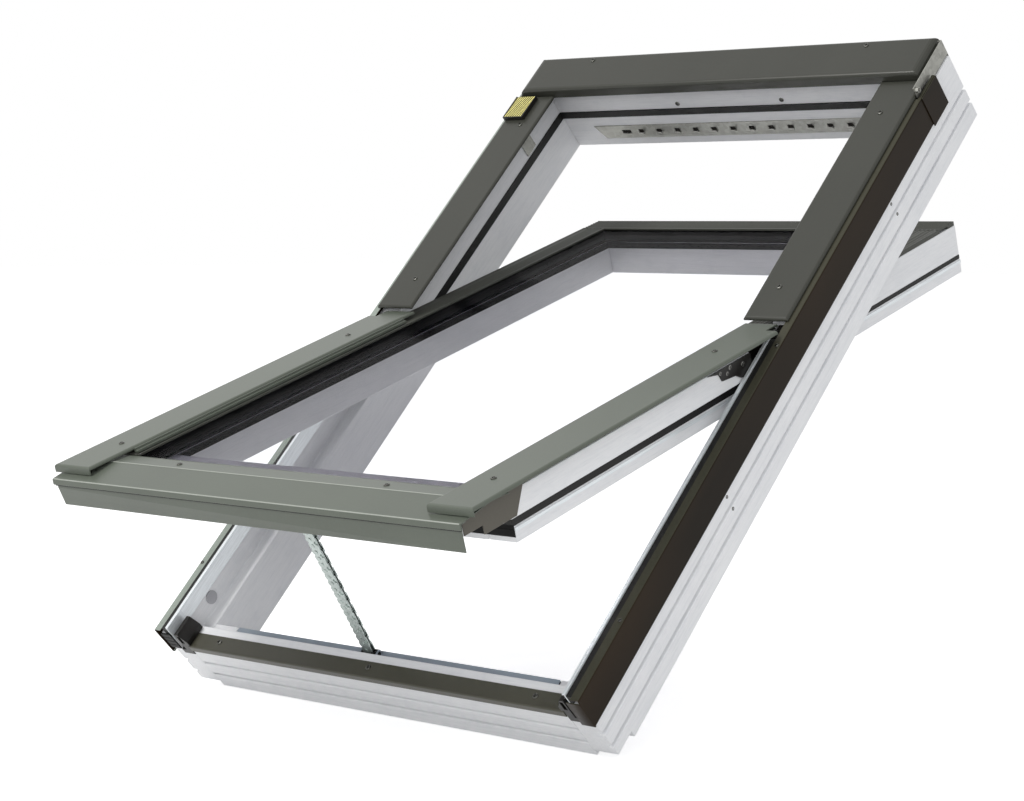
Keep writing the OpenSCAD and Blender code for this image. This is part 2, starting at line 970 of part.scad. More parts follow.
module sash_hinge() {
    y0 = pivot_y - 46;
    difference() {
        block(sash_half, sash_half + 4, y0, pivot_y + 24, shoulder_level + 1, frame_depth - 1);
        block(sash_half - over, sash_half + 5, pivot_y + 8, pivot_y + 25,
            shoulder_level, shoulder_level + 10);
    }
    translate([sash_half + 3, pivot_y, pivot_z])
        rotate([0, 90, 0])
            cylinder(h = rebate_width - 5, r = pin_radius, $fn = 48);
    for (p = [[-36, 0], [-36, -16], [-20, -16], [16, -8]])
        translate([sash_half + 4, pivot_y + p[0], pivot_z + p[1]])
            rotate([0, 90, 0])
                cylinder(h = 0.8, r = screw_radius, $fn = 20);
    translate([shoulder_out, shoulder_top_y, frame_depth]) {
        along_x(0, plate)
            polygon([[-1, -1], [-99, -1], [-75, -6], [-70, -17], [-40, -20], [-28, -27], [-1, -30]]);
        for (p = [[-49, -5], [-21, -10], [-72, -5.5], [-57, -11]])
            translate([plate - over, p[0], p[1]])
                rotate([0, 90, 0])
                    cylinder(h = over + joint_clearance, r = 0.7 * screw_radius, $fn = 20);
    }
}

module right_sash_hinge() {
    color("black")
        swing()
            sash_hinge();
}

module left_sash_hinge() {
    color("black")
        swing()
            left_side()
                sash_hinge();
}

module chain_bracket() {
    color("silver")
        swing()
            translate([chain_x, 0, 0]) {
                for (s = [-1, 1])
                    translate([s * 14.5, 0, 0])
                        difference() {
                            block(-1.5, 1.5, chain_y - 7.5, pocket_y, joint_z - 7, joint_z + 5);
                            translate([-2, chain_y, joint_z])
                                rotate([0, 90, 0])
                                    cylinder(h = 4, r = 5.5, $fn = 24);
                        }
                block(-22, 22, pocket_y - 2.5, pocket_y, joint_z - 10, joint_z + 5);
            }
}

module sash_clips() {
    color("black")
        swing()
            both_sides()
                for (y = span(-half_length + 80, shoulder_top_y - 40, 3))
                    block(sash_half + 2, shoulder_out - 2, y - 9, y + 9, frame_depth, cover_top - sheet);
}

module sash_screws() {
    color("silver")
        swing() {
            both_sides() {
                for (y = span(-half_length + 46, shoulder_top_y - 47, 2))
                    screw(cover_in + 31, y, cover_top);
                translate([0, (bend_y + crease_y) / 2, (bend_z + crease_z) / 2])
                    rotate([-crease_slope, 0, 0])
                        screw(frame_width / 4 - 3, 0, sheet / 2);
            }
        }
}

// Chain, drawn upright from its exit and then leaned
module chain_guide() {
    half = chain_width / 2 + run_clearance;
    throat = link_pin / 2 + run_clearance;
    color("dimgray")
        lean()
            difference() {
                union() {
                    block(-guide_half, guide_half, -6.5, 6.5, -14, 2);
                    rotate([0, 90, 0])
                        cylinder(h = 2 * (guide_half + ear), r = trunnion, center = true, $fn = 32);
                }
                block(-half, half, -throat, throat, -15, 4);
            }
}

module link_plate(k, y, t) {
    r = link_radius;
    translate([0, y + t / 2, 0])
        rotate([90, 0, 0])
            linear_extrude(t)
                union() {
                    for (e = [0, 1])
                        translate([-1.5, (k + e) * chain_pitch])
                            circle(r, $fn = 20);
                    translate([-1.5 - r * 0.55, k * chain_pitch])
                        square([r * 1.1, chain_pitch]);
                    translate([0, k * chain_pitch + 0.6 - r * 0.4])
                        square([chain_width / 2, chain_pitch - 1.2 + r * 0.8]);
                }
}

module chain_links() {
    color("silver")
        lean()
            translate([0, 0, link_radius])
                union() {
                    for (k = [0 : chain_links_count - 2])
                        for (s = [-1, 1])
                            link_plate(k, s * (k % 2 == 0 ? 2.9 : 1.6), 1.2);
                    for (k = [0 : chain_links_count - 1])
                        translate([-1.5, link_pin / 2, k * chain_pitch])
                            rotate([90, 0, 0])
                                cylinder(h = link_pin, r = 2.6, $fn = 16);
                }
}

module chain_end() {
    color("silver")
        lean()
            translate([0, 0, chain_reach])
                difference() {
                    union() {
                        block(-6, 6, -4, 4, -chain_shut, 0);
                        rotate([0, 90, 0])
                            cylinder(h = 12, r = 4, center = true, $fn = 32);
                    }
                    rotate([0, 90, 0])
                        cylinder(h = 14, r = chain_pin_radius, center = true, $fn = 32);
                }
}

module chain_pin() {
    color("silver")
        lean()
            translate([0, 0, chain_reach])
                rotate([0, 90, 0])
                    cylinder(h = 36, r = chain_pin_radius, center = true, $fn = 32);
}

place() frame_head();
place() frame_sill();
place() frame_left_jamb();
place() frame_right_jamb();
place() frame_gasket();
place() head_hood();
place() left_upper_cover();
place() right_upper_cover();
place() left_flashing();
place() right_flashing();
place() left_bracket();
place() right_bracket();
place() left_strip();
place() right_strip();
place() left_strip_seal();
place() right_strip_seal();
place() left_corner_block();
place() right_corner_block();
place() sill_cover();
place() vent_strip();
place() sensor_base();
place() sensor_grid();
place() striker_clip();
place() jamb_plugs();
place() left_frame_hinge();
place() right_frame_hinge();
place() frame_clips();
place() frame_screws();
place() drive_housing();
place() drive_cover();
place() drive_caps();
place() drive_motor();
place() sash_top_rail();
place() sash_bottom_rail();
place() sash_left_stile();
place() sash_right_stile();
place() outer_pane();
place() inner_pane();
place() glass_spacer();
place() glass_seal();
place() left_trim();
place() right_trim();
place() top_trim();
place() sash_left_cover();
place() sash_right_cover();
place() sash_bottom_cover();
place() sash_apron();
place() left_end_plate();
place() right_end_plate();
place() sash_gaskets();
place() drip_strips();
place() left_sash_hinge();
place() right_sash_hinge();
place() chain_bracket();
place() sash_clips();
place() sash_screws();
place() chain_guide();
place() chain_links();
place() chain_end();
place() chain_pin();
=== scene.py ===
"""Looks of the roof skylight: finishes, fine pieces, light and camera, in the frame of the solids."""
import json
import math
import bmesh
import bpy
from mathutils import Matrix, Vector

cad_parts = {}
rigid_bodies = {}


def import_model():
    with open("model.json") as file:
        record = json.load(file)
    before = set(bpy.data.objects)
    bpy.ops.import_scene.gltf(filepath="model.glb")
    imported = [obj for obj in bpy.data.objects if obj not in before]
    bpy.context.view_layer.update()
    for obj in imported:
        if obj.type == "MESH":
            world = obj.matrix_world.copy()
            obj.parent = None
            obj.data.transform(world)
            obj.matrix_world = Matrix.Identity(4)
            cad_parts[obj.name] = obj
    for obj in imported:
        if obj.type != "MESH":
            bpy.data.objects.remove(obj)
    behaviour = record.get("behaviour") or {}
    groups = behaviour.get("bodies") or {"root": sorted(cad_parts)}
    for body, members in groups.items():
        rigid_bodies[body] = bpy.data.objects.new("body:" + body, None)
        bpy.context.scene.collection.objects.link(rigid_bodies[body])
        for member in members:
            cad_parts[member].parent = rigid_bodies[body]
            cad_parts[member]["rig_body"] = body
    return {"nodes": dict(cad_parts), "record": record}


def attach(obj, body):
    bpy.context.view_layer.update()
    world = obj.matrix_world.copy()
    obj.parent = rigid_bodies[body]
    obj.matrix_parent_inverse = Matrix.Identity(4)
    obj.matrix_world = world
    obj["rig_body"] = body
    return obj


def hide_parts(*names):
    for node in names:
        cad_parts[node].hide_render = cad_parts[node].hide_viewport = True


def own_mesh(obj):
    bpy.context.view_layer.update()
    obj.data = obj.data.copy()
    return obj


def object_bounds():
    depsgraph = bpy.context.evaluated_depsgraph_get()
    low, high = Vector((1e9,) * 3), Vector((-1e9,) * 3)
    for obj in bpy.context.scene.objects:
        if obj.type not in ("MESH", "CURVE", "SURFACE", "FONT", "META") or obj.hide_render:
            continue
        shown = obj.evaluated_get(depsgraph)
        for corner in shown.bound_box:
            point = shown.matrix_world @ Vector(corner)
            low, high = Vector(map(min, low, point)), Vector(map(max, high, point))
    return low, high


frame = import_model()
cad_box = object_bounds()
collection = bpy.context.scene.collection
nodes = frame["nodes"]
slots = {part["node"]: part["material_slot"] for part in frame["record"]["subparts"]}
joints = {joint["name"]: joint for joint in frame["record"]["behaviour"]["joints"]}

# The window as drawn, in millimetres: X across, Y up the slope, Z outward. ROOF and SASH place it, in metres.
PITCH = math.radians(45)
OPEN = math.radians(joints["sash_tilt"]["range_deg"][1])
HALF_LENGTH, ORIGIN_Z = 590.0, 41.0
PIVOT = Vector((0, 20.0, 110.0))
MM = Matrix.Scale(0.001, 4)
SWING = Matrix.Translation(PIVOT) @ Matrix.Rotation(-OPEN, 4, "X") @ Matrix.Translation(-PIVOT)
ROOF = MM @ (Matrix.Rotation(PITCH, 4, "X") @ Matrix.Translation((0, HALF_LENGTH, -ORIGIN_Z)))
SASH = ROOF @ SWING

# How far the pieces of each body are turned about X, so that grain and clouding follow them
LEVEL = {"frame": PITCH, "sash": PITCH - OPEN, "chain_guide": 0.0, "chain": 0.0}

# Colours, as linear values
PAINT_SHADE, PAINT_LIGHT = (0.83, 0.835, 0.85), (0.885, 0.888, 0.895)
PAINT_SMUDGE, PAINT_STREAK, PAINT_GRAIN = (0.72, 0.735, 0.76), (0.64, 0.66, 0.69), (0.66, 0.675, 0.70)
# OLIVE is the sill cover's own colour; on the flashings it lies on outward faces as a painted reflection
GREEN, DARK_GREEN, OLIVE = (0.102, 0.116, 0.093), (0.041, 0.042, 0.034), (0.060, 0.058, 0.041)
# The middle brown is a painted sheen, laid in patches on the flashings
BROWN, PAINTED_SHEEN_BROWN, END_BROWN = (0.011, 0.0075, 0.004), (0.032, 0.019, 0.009), (0.105, 0.097, 0.080)
# Both colours here are painted highlights: the first on the outward faces of the left flashing, the second on
# the fold beads of the bottom cover
PAINTED_PALE_SHEEN, PAINTED_FOLD_HIGHLIGHT = (0.32, 0.36, 0.32), (0.34, 0.36, 0.32)
TRIM_GREEN, DRIVE_GREY, PLUG_GREY = (0.062, 0.064, 0.054), (0.30, 0.345, 0.395), (0.42, 0.42, 0.44)
GALVANISED, ALUMINIUM, STEEL = (0.31, 0.31, 0.285), (0.80, 0.84, 0.86), (0.46, 0.51, 0.49)
SCREW_ZINC, HINGE_STEEL = (0.115, 0.115, 0.105), (0.20, 0.20, 0.19)
GOLD, STRIPE_GOLD = (0.86, 0.79, 0.36), (0.86, 0.78, 0.26)
BLACK_RUBBER, BLACK_PLASTIC = (0.006, 0.006, 0.0055), (0.010, 0.009, 0.008)
SPACER_BLACK, FELT = (0.026, 0.026, 0.026), (0.03, 0.027, 0.024)
# The last two glass colours darken light that passes the glass: painted shade on the faces behind it
GLASS_TINT, GLASS_PAINTED_SHADE, GLASS_SHADOW = (0.955, 0.955, 0.965), (0.42, 0.41, 0.45), (0.24, 0.24, 0.26)
WHITE, FLOOR_GREY = (1, 1, 1), (0.8, 0.8, 0.8)
SKY, KEY_LIGHT = (0.972, 0.984, 1.0), (1.0, 0.985, 0.965)

# Heights of the fine surface relief, in metres
SKIN_RELIEF, SHEET_RELIEF, GRAIN_RELIEF = 0.0002, 0.0006, 0.0008


class Graph:
    """A material's node tree with short helpers."""

    # Sockets of the mix node for colours
    MIX_FACTOR, MIX_A, MIX_B, MIX_RESULT = 0, 6, 7, 2

    def __init__(self, name):
        self.mat = bpy.data.materials.new(name)
        self.mat.use_nodes = True
        self.tree = self.mat.node_tree
        self.tree.nodes.clear()
        self.out = self.tree.nodes.new("ShaderNodeOutputMaterial")
        self.bsdf = self.tree.nodes.new("ShaderNodeBsdfPrincipled")
        self.link(self.bsdf.outputs[0], self.out.inputs[0])

    def node(self, kind, **values):
        made = self.tree.nodes.new(kind)
        for key, value in values.items():
            setattr(made, key, value)
        return made

    def link(self, a, b):
        self.tree.links.new(a, b)

    def set(self, **values):
        """Sets the shader's own sockets."""
        for key, value in values.items():
            self.bsdf.inputs[key.replace("_", " ")].default_value = value

    def feed(self, **sources):
        """Links sources to the shader's sockets."""
        for key, source in sources.items():
            self.link(source, self.bsdf.inputs[key.replace("_", " ")])

    def coords(self, angle=0.0, scale=(1, 1, 1)):
        """Position on the piece, turned level by angle about X, then scaled."""
        place = self.node("ShaderNodeTexCoord")
        turn = self.node("ShaderNodeMapping")
        turn.inputs["Rotation"].default_value = (-angle, 0, 0)
        grow = self.node("ShaderNodeMapping")
        grow.inputs["Scale"].default_value = scale
        self.link(place.outputs["Object"], turn.inputs["Vector"])
        self.link(turn.outputs[0], grow.inputs["Vector"])
        return grow.outputs[0]

    def noise(self, where, scale, detail=4.0, rough=0.55):
        made = self.node("ShaderNodeTexNoise")
        made.inputs["Scale"].default_value = scale
        made.inputs["Detail"].default_value = detail
        made.inputs["Roughness"].default_value = rough
        self.link(where, made.inputs["Vector"])
        return made.outputs["Fac"]

    def ramp(self, fac, low, high):
        """Blends two colours, each given as its position and its colour."""
        made = self.node("ShaderNodeValToRGB")
        for end, (position, colour) in zip(made.color_ramp.elements, (low, high)):
            end.position = position
            end.color = (*colour, 1)
        self.link(fac, made.inputs[0])
        return made.outputs[0]

    def range(self, fac, low, high, start=0.0, end=1.0):
        """Maps fac from the range start to end onto the range low to high."""
        made = self.node("ShaderNodeMapRange")
        for key, value in zip(("From Min", "From Max", "To Min", "To Max"), (start, end, low, high)):
            made.inputs[key].default_value = value
        self.link(fac, made.inputs["Value"])
        return made.outputs[0]

    def mix(self, fac, a, b):
        """Mixes two colours, each a value or a socket."""
        made = self.node("ShaderNodeMix", data_type="RGBA")
        self.link(fac, made.inputs[self.MIX_FACTOR])
        for colour, key in ((a, self.MIX_A), (b, self.MIX_B)):
            if hasattr(colour, "is_linked"):
                self.link(colour, made.inputs[key])
            else:
                made.inputs[key].default_value = (*colour, 1)
        return made.outputs[self.MIX_RESULT]

    def bump(self, height, strength, distance):
        """Adds relief on top of what is there."""
        made = self.node("ShaderNodeBump")
        made.inputs["Strength"].default_value = strength
        made.inputs["Distance"].default_value = distance
        self.link(height, made.inputs["Height"])
        normal = self.bsdf.inputs["Normal"]
        if normal.is_linked:
            self.link(normal.links[0].from_socket, made.inputs["Normal"])
        self.link(made.outputs[0], normal)


# Materials
def shade(colour, by):
    return tuple(min(1.0, c * by) for c in colour)


def timber(name, angle, across):
    """White satin paint over planed softwood: grain runs along the member."""
    g = Graph(name)
    along = (3, 60, 60) if across else (60, 3, 60)
    grain = g.noise(g.coords(angle, along), scale=4, detail=6, rough=0.6)
    streaks = g.noise(g.coords(angle, along), scale=13, detail=5, rough=0.72)
    cloud = g.noise(g.coords(angle), scale=5, detail=3)
    smudges = g.noise(g.coords(angle, (1, 0.6, 1)), scale=34, detail=5, rough=0.7)
    paint = g.ramp(cloud, (0.3, PAINT_SHADE), (0.7, PAINT_LIGHT))
    paint = g.mix(g.range(smudges, 0, 0.55, start=0.5, end=0.8), paint, PAINT_SMUDGE)
    paint = g.mix(g.range(streaks, 0, 0.5, start=0.5, end=0.78), paint, PAINT_STREAK)
    paint = g.mix(g.range(grain, 0, 0.4, start=0.48, end=0.8), paint, PAINT_GRAIN)
    g.feed(Base_Color=paint, Roughness=g.range(cloud, 0.36, 0.5))
    g.set(IOR=1.5)
    g.bump(grain, 0.16, GRAIN_RELIEF)
    g.bump(g.noise(g.coords(angle), scale=900, detail=2), 0.05, SKIN_RELIEF)
    return g.mat


def coated(name, colour, angle, rough=0.29, specular=0.34, outward=None, painted_sheen=None):
    """Baked coating on sheet metal with fine dust; painted reflection may lie on outward faces, painted sheen
    in patches.
    """
    g = Graph(name)
    cloud = g.noise(g.coords(angle, (1, 0.5, 1)), scale=6, detail=4)
    dust = g.noise(g.coords(angle), scale=260, detail=3)
    main = g.ramp(cloud, (0.25, shade(colour, 0.9)), (0.75, shade(colour, 1.1)))
    # Patches of the second colour: painted sheen
    if painted_sheen:
        patches = g.noise(g.coords(angle, (1, 0.35, 1)), scale=5, detail=2)
        main = g.mix(g.range(patches, 0, 0.8, start=0.42, end=0.72), main, painted_sheen)
    # Faces turned outward take the outward colour: a painted reflection of the light from above
    if outward:
        facing = g.node("ShaderNodeTexCoord")
        level = g.node("ShaderNodeMapping", vector_type="NORMAL")
        level.inputs["Rotation"].default_value = (-angle, 0, 0)
        axes = g.node("ShaderNodeSeparateXYZ")
        g.link(facing.outputs["Normal"], level.inputs["Vector"])
        g.link(level.outputs[0], axes.inputs[0])
        main = g.mix(g.range(axes.outputs["Z"], 0, 1, start=0.55, end=0.8), main, outward)
    dusty = g.mix(g.range(dust, 0, 0.22, start=0.5, end=0.85), main, shade(colour, 1.35))
    g.feed(Base_Color=dusty, Roughness=g.range(cloud, rough - 0.06, rough + 0.08))
    g.set(Specular_IOR_Level=specular, IOR=1.45)
    g.bump(g.noise(g.coords(angle), scale=1400, detail=2), 0.08, SKIN_RELIEF)
    g.bump(g.noise(g.coords(angle), scale=9, detail=2), 0.10, SHEET_RELIEF)
    return g.mat


def metal(name, colour, rough, angle=0.0, brushed=(1, 1, 1), spangle=False, weight=1.0):
    """Bare or plated metal with brushing or zinc crystals."""
    g = Graph(name)
    lines = g.noise(g.coords(angle, brushed), scale=120, detail=4, rough=0.6)
    if spangle:
        cells = g.node("ShaderNodeTexVoronoi")
        cells.inputs["Scale"].default_value = 160
        g.link(g.coords(angle), cells.inputs["Vector"])
        grey = g.node("ShaderNodeRGBToBW")
        g.link(cells.outputs["Color"], grey.inputs[0])
        main = g.ramp(grey.outputs[0], (0.2, shade(colour, 0.88)), (0.8, shade(colour, 1.1)))
    else:
        main = g.ramp(lines, (0.3, shade(colour, 0.82)), (0.7, shade(colour, 1.12)))
    g.feed(Base_Color=main, Roughness=g.range(lines, rough - 0.08, rough + 0.1))
    g.set(Metallic=weight)
    g.bump(lines, 0.12, SKIN_RELIEF)
    return g.mat


def dull(name, colour, rough, angle=0.0, grit=700, specular=0.3):
    """Moulded plastic or rubber with a fine matt skin."""
    g = Graph(name)
    cloud = g.noise(g.coords(angle), scale=14, detail=3)
    skin = g.noise(g.coords(angle), scale=grit, detail=2)
    main = g.ramp(cloud, (0.3, shade(colour, 0.8)), (0.7, shade(colour, 1.35)))
    g.feed(Base_Color=main, Roughness=g.range(skin, rough - 0.08, rough + 0.1))
    g.bump(skin, 0.18, SKIN_RELIEF)
    g.set(Specular_IOR_Level=specular)
    return g.mat


def clear(name, angle):
    """Float glass: clear, faintly grey, with almost invisible rain marks."""
    g = Graph(name)
    marks = g.noise(g.coords(angle, (1, 0.35, 1)), scale=26, detail=3)
    # Light that passes after a matt bounce takes a far darker tint, and lamp light is mostly held back:
    # painted shade on the faces behind the glass, while the view through stays clear
    path = g.node("ShaderNodeLightPath")
    indirect = g.range(path.outputs["Diffuse Depth"], 0, 1)
    g.feed(Base_Color=g.mix(indirect, GLASS_TINT, GLASS_PAINTED_SHADE),
           Roughness=g.range(marks, 0.0, 0.008, start=0.5, end=0.9))
    g.set(Transmission_Weight=1.0, IOR=1.02)
    shadow = g.node("ShaderNodeBsdfTransparent")
    shadow.inputs["Color"].default_value = (*GLASS_SHADOW, 1)
    either = g.node("ShaderNodeMixShader")
    g.link(path.outputs["Is Shadow Ray"], either.inputs[0])
    g.link(g.bsdf.outputs[0], either.inputs[1])
    g.link(shadow.outputs[0], either.inputs[2])
    g.link(either.outputs[0], g.out.inputs[0])
    return g.mat


# Finishes of the nodes, shared by the nodes of a slot and body that look the same
ACROSS = {"frame_head", "frame_sill", "sash_top_rail", "sash_bottom_rail"}
UPPER = {"head_hood", "left_upper_cover", "right_upper_cover"}
SINGLE = {"sill_cover", "left_flashing", "glass_spacer"}
RUBBER_GRIT = 420
PLAIN = {
    "trim": lambda name, angle: coated(name, TRIM_GREEN, angle, rough=0.42, specular=0.25),
    "drive": lambda name, angle: coated(name, DRIVE_GREY, angle, rough=0.55),
    "galvanised": lambda name, angle: metal(name, GALVANISED, 0.46, angle, spangle=True),
    "aluminium": lambda name, angle: metal(name, ALUMINIUM, 0.34, angle, brushed=(12, 0.2, 12), weight=0.35),
    "steel": lambda name, angle: metal(name, STEEL, 0.44, angle),
    "gold": lambda name, angle: metal(name, GOLD, 0.28, angle),
    "plug": lambda name, angle: dull(name, PLUG_GREY, 0.5, angle),
    "rubber": lambda name, angle: dull(name, BLACK_RUBBER, 0.55, angle, RUBBER_GRIT),
    "plastic": lambda name, angle: dull(name, BLACK_PLASTIC, 0.34, angle),
    "glass": clear,
}
made = {}


def new_finish(name, node, body):
    slot, angle = slots[node], LEVEL[body]
    if slot == "timber":
        return timber(name, angle, node in ACROSS)
    if slot == "cladding":
        colour = DARK_GREEN if node in UPPER else OLIVE if node == "sill_cover" else GREEN
        return coated(name, colour, angle)
    if slot == "flashing" and body == "sash":
        return coated(name, END_BROWN, angle, rough=0.34, specular=0.25)
    if slot == "flashing":
        # The flashings' dark brown coating is painted lighter on its outward faces, a painted reflection, and
        # warmer in patches, a painted sheen
        outward = PAINTED_PALE_SHEEN if node == "left_flashing" else OLIVE
        return coated(name, BROWN, angle, rough=0.3, specular=0.09, outward=outward, painted_sheen=PAINTED_SHEEN_BROWN)
    if node == "glass_spacer":
        return dull(name, SPACER_BLACK, 0.8, angle, RUBBER_GRIT, specular=0.0)
    return PLAIN[slot](name, angle)


def finish_of(node, body):
    """The node's material, made once under a name that tells its kind."""
    words = [slots[node], body]
    words += ["across"] * (node in ACROSS) + ["upper"] * (node in UPPER) + [node] * (node in SINGLE)
    name = "_".join(words)
    if name not in made:
        made[name] = new_finish(name, node, body)
    return made[name]


# Rounded edges by slot, and the weld that goes before them, in metres
ROUND = {
    "timber": 0.0016, "cladding": 0.0007, "flashing": 0.0006, "drive": 0.0008, "galvanised": 0.0004,
    "aluminium": 0.0004, "plastic": 0.0006, "trim": 0.0003, "rubber": 0.0004, "steel": 0.0004,
}
WELD = 0.00002
SHARP = math.radians(40)


def edged(obj, width):
    soft = obj.modifiers.new("Edge", "BEVEL")
    soft.width = width
    soft.segments = 2
    soft.limit_method = "ANGLE"
    soft.angle_limit = SHARP
    soft.harden_normals = True


finish = {}
for node, obj in nodes.items():
    finish[node] = finish_of(node, obj["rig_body"])
    obj.data.materials.clear()
    obj.data.materials.append(finish[node])
    if slots[node] in ROUND:
        obj.modifiers.new("Weld", "WELD").merge_threshold = WELD
        edged(obj, ROUND[slots[node]])


# Makers of the fine pieces, which are drawn in millimetres
def mesh_piece(name, net, place, mat, body, *replaced):
    bmesh.ops.recalc_face_normals(net, faces=net.faces)
    mesh = bpy.data.meshes.new(name)
    net.to_mesh(mesh)
    net.free()
    mesh.transform(place)
    mesh.materials.append(mat)
    obj = bpy.data.objects.new(name, mesh)
    collection.objects.link(obj)
    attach(obj, body)
    if replaced:
        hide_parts(*replaced)
    return obj


def at(x, y, z, tilt=0.0):
    return Matrix.Translation((x, y, z)) @ Matrix.Rotation(math.radians(tilt), 4, "X")


def beside(side, x, y, z):
    """A place on a face that looks to one side."""
    return Matrix.Translation((side * x, y, z)) @ Matrix.Rotation(math.radians(90 * side), 4, "Y")


def screw_head(net, place, r, high=1.9):
    """A domed head with a cross recess, standing on z = 0. Its inner sizes are shares of r and high."""
    steps, rings = 48, 9
    rim, arm, slit, recess = 0.45, 0.62, 0.15, 0.75

    def height(u, v):
        d = math.hypot(u, v)
        dome = high * (rim + (1 - rim) * math.sqrt(max(0.0, 1 - d * d)))
        cut = min(abs(u), abs(v)) < slit and d < arm
        return dome - recess * high * cut

    def corner(u, v, z):
        return net.verts.new(place @ Vector((r * u, r * v, z)))

    angles = [2 * math.pi * k / steps for k in range(steps)]
    turns = [(math.cos(t), math.sin(t)) for t in angles]
    rows = []
    for i in range(1, rings + 1):
        d = i / rings
        rows.append([corner(d * u, d * v, height(d * u, d * v)) for u, v in turns])
    foot = [corner(u, v, 0) for u, v in turns]
    top = corner(0, 0, height(0, 0))
    for k in range(steps):
        m = (k + 1) % steps
        net.faces.new((top, rows[0][k], rows[0][m]))
        for a, b in zip(rows, rows[1:] + [foot]):
            net.faces.new((a[k], b[k], b[m], a[m]))
    net.faces.new(foot[::-1])


def prism(net, ends):
    """A closed bar between two loops of corners."""
    first, last = [[net.verts.new(corner) for corner in end] for end in ends]
    net.faces.new(first)
    net.faces.new(last[::-1])
    for k in range(len(first)):
        m = (k + 1) % len(first)
        net.faces.new((first[k], last[k], last[m], first[m]))


def extruded(net, outline, ys, mirrored=False):
    """A bar along Y from an outline in X and Z."""
    sign = -1 if mirrored else 1
    prism(net, [[(sign * x, y, z) for x, z in outline] for y in ys])


def rod(net, half, y, z, r, steps=10):
    """A round bead along X."""
    turns = [2 * math.pi * k / steps for k in range(steps)]
    prism(net, [[(x, y + r * math.cos(t), z + r * math.sin(t)) for t in turns] for x in (-half, half)])


def box(net, xs, ys, zs, mirrored):
    (x0, x1), (low, high) = xs, zs
    extruded(net, ((x0, low), (x0, high), (x1, high), (x1, low)), ys, mirrored)


def ribbed_seal(net, count, pitch, rib, back, mirrored):
    """A thin back with ribs one above the other. rib and back are ends along X, Y and Z."""
    xs, ys, (low, high) = rib
    for k in range(count):
        box(net, xs, ys, (low + k * pitch, high + k * pitch), mirrored)
    box(net, *back, mirrored)


# Screw heads of the frame: radii, then places
SCREW, SMALL_SCREW = 4, 2.8
COVER_SCREW_X, COVER_TOP, UPPER_COVER_SCREWS = 343.5, 134, (103, 452)
FLASHING_SCREW_X, FLASHING_TOP, FLASHING_SCREWS = 389, 128.7, (-469, 0)
HOOD_SCREW_X, HOOD_SCREW_Y, HOOD_TOP = 262, 587, 147
SILL_SCREW_X, SILL_SCREW_Y, SILL_TOP = 295, -576, 94.5
HEAD_SCREW_X, HEAD_FACE, HEAD_SCREW_Z = 100, 545, 84
zinc = metal("screw_zinc", SCREW_ZINC, 0.27)
net = bmesh.new()
for side in (-1, 1):
    for y in UPPER_COVER_SCREWS:
        screw_head(net, at(side * COVER_SCREW_X, y, COVER_TOP), SCREW)
    for y in FLASHING_SCREWS:
        screw_head(net, at(side * FLASHING_SCREW_X, y, FLASHING_TOP), SMALL_SCREW)
    screw_head(net, at(side * HOOD_SCREW_X, HOOD_SCREW_Y, HOOD_TOP), SCREW)
    screw_head(net, at(side * SILL_SCREW_X, SILL_SCREW_Y, SILL_TOP), SCREW)
    screw_head(net, at(side * HEAD_SCREW_X, HEAD_FACE, HEAD_SCREW_Z, tilt=90), SCREW)
screw_head(net, at(0, SILL_SCREW_Y, SILL_TOP), SCREW)
mesh_piece("frame_screw_heads", net, ROOF, zinc, "frame", "frame_screws")

# Screw heads of the sash covers; the bottom cover slopes from its bend to its crease, given in Y and Z
BEND, CREASE = Vector((-562, 123.85)), Vector((-588, 125.9))
BOTTOM_SCREW_X, HALF_SHEET = 192, 0.75
LOWER_COVER_SCREWS = (-544, -83)
slope = math.degrees(math.atan2(CREASE.y - BEND.y, BEND.x - CREASE.x))
middle = (BEND + CREASE) / 2
net = bmesh.new()
for side in (-1, 1):
    for y in LOWER_COVER_SCREWS:
        screw_head(net, at(side * COVER_SCREW_X, y, COVER_TOP), SCREW)
    on_slope = at(side * BOTTOM_SCREW_X, middle.x, middle.y, -slope)
    screw_head(net, on_slope @ Matrix.Translation((0, 0, HALF_SHEET)), SCREW)
mesh_piece("sash_screw_heads", net, SASH, zinc, "sash", "sash_screws")

# Two pairs of screw heads on the outer face of each jamb, given in Y and Z
JAMB_FACE, JAMB_SCREW, JAMB_SCREW_HEIGHT = 389.6, 2.6, 0.9
JAMB_SCREWS = ((-216, 69.6), (-218, 48), (330, 69.6), (332, 48))
net = bmesh.new()
for side in (-1, 1):
    for y, z in JAMB_SCREWS:
        screw_head(net, beside(side, JAMB_FACE, y, z), JAMB_SCREW, JAMB_SCREW_HEIGHT)
mesh_piece("jamb_screw_heads", net, ROOF, zinc, "frame")

# Louvre lips of the vent strip, each a slanted plate in front of its slot
VENT_HALF, VENT_SLOTS = 202, 12
VENT_FACE, VENT_LEVEL = 543.4, 29
LIP_INSIDE = ((-5, 0, -4.5), (5, 0, -4.5), (5, 4.2, 1.5), (-3, 4.2, 1.5))
LIP_OUTSIDE = ((-5, 0.7, -4.9), (5, 0.7, -4.9), (5, 4.9, 1.2), (-3, 4.9, 1.2))
net = bmesh.new()
for k in range(VENT_SLOTS):
    x = -VENT_HALF + k * 2 * VENT_HALF / (VENT_SLOTS - 1)
    prism(net, [[(x + a, VENT_FACE - b, VENT_LEVEL + c) for a, b, c in face]
                for face in (LIP_INSIDE, LIP_OUTSIDE)])
mesh_piece("vent_lips", net, ROOF, metal("vent_metal", GALVANISED, 0.4), "frame")

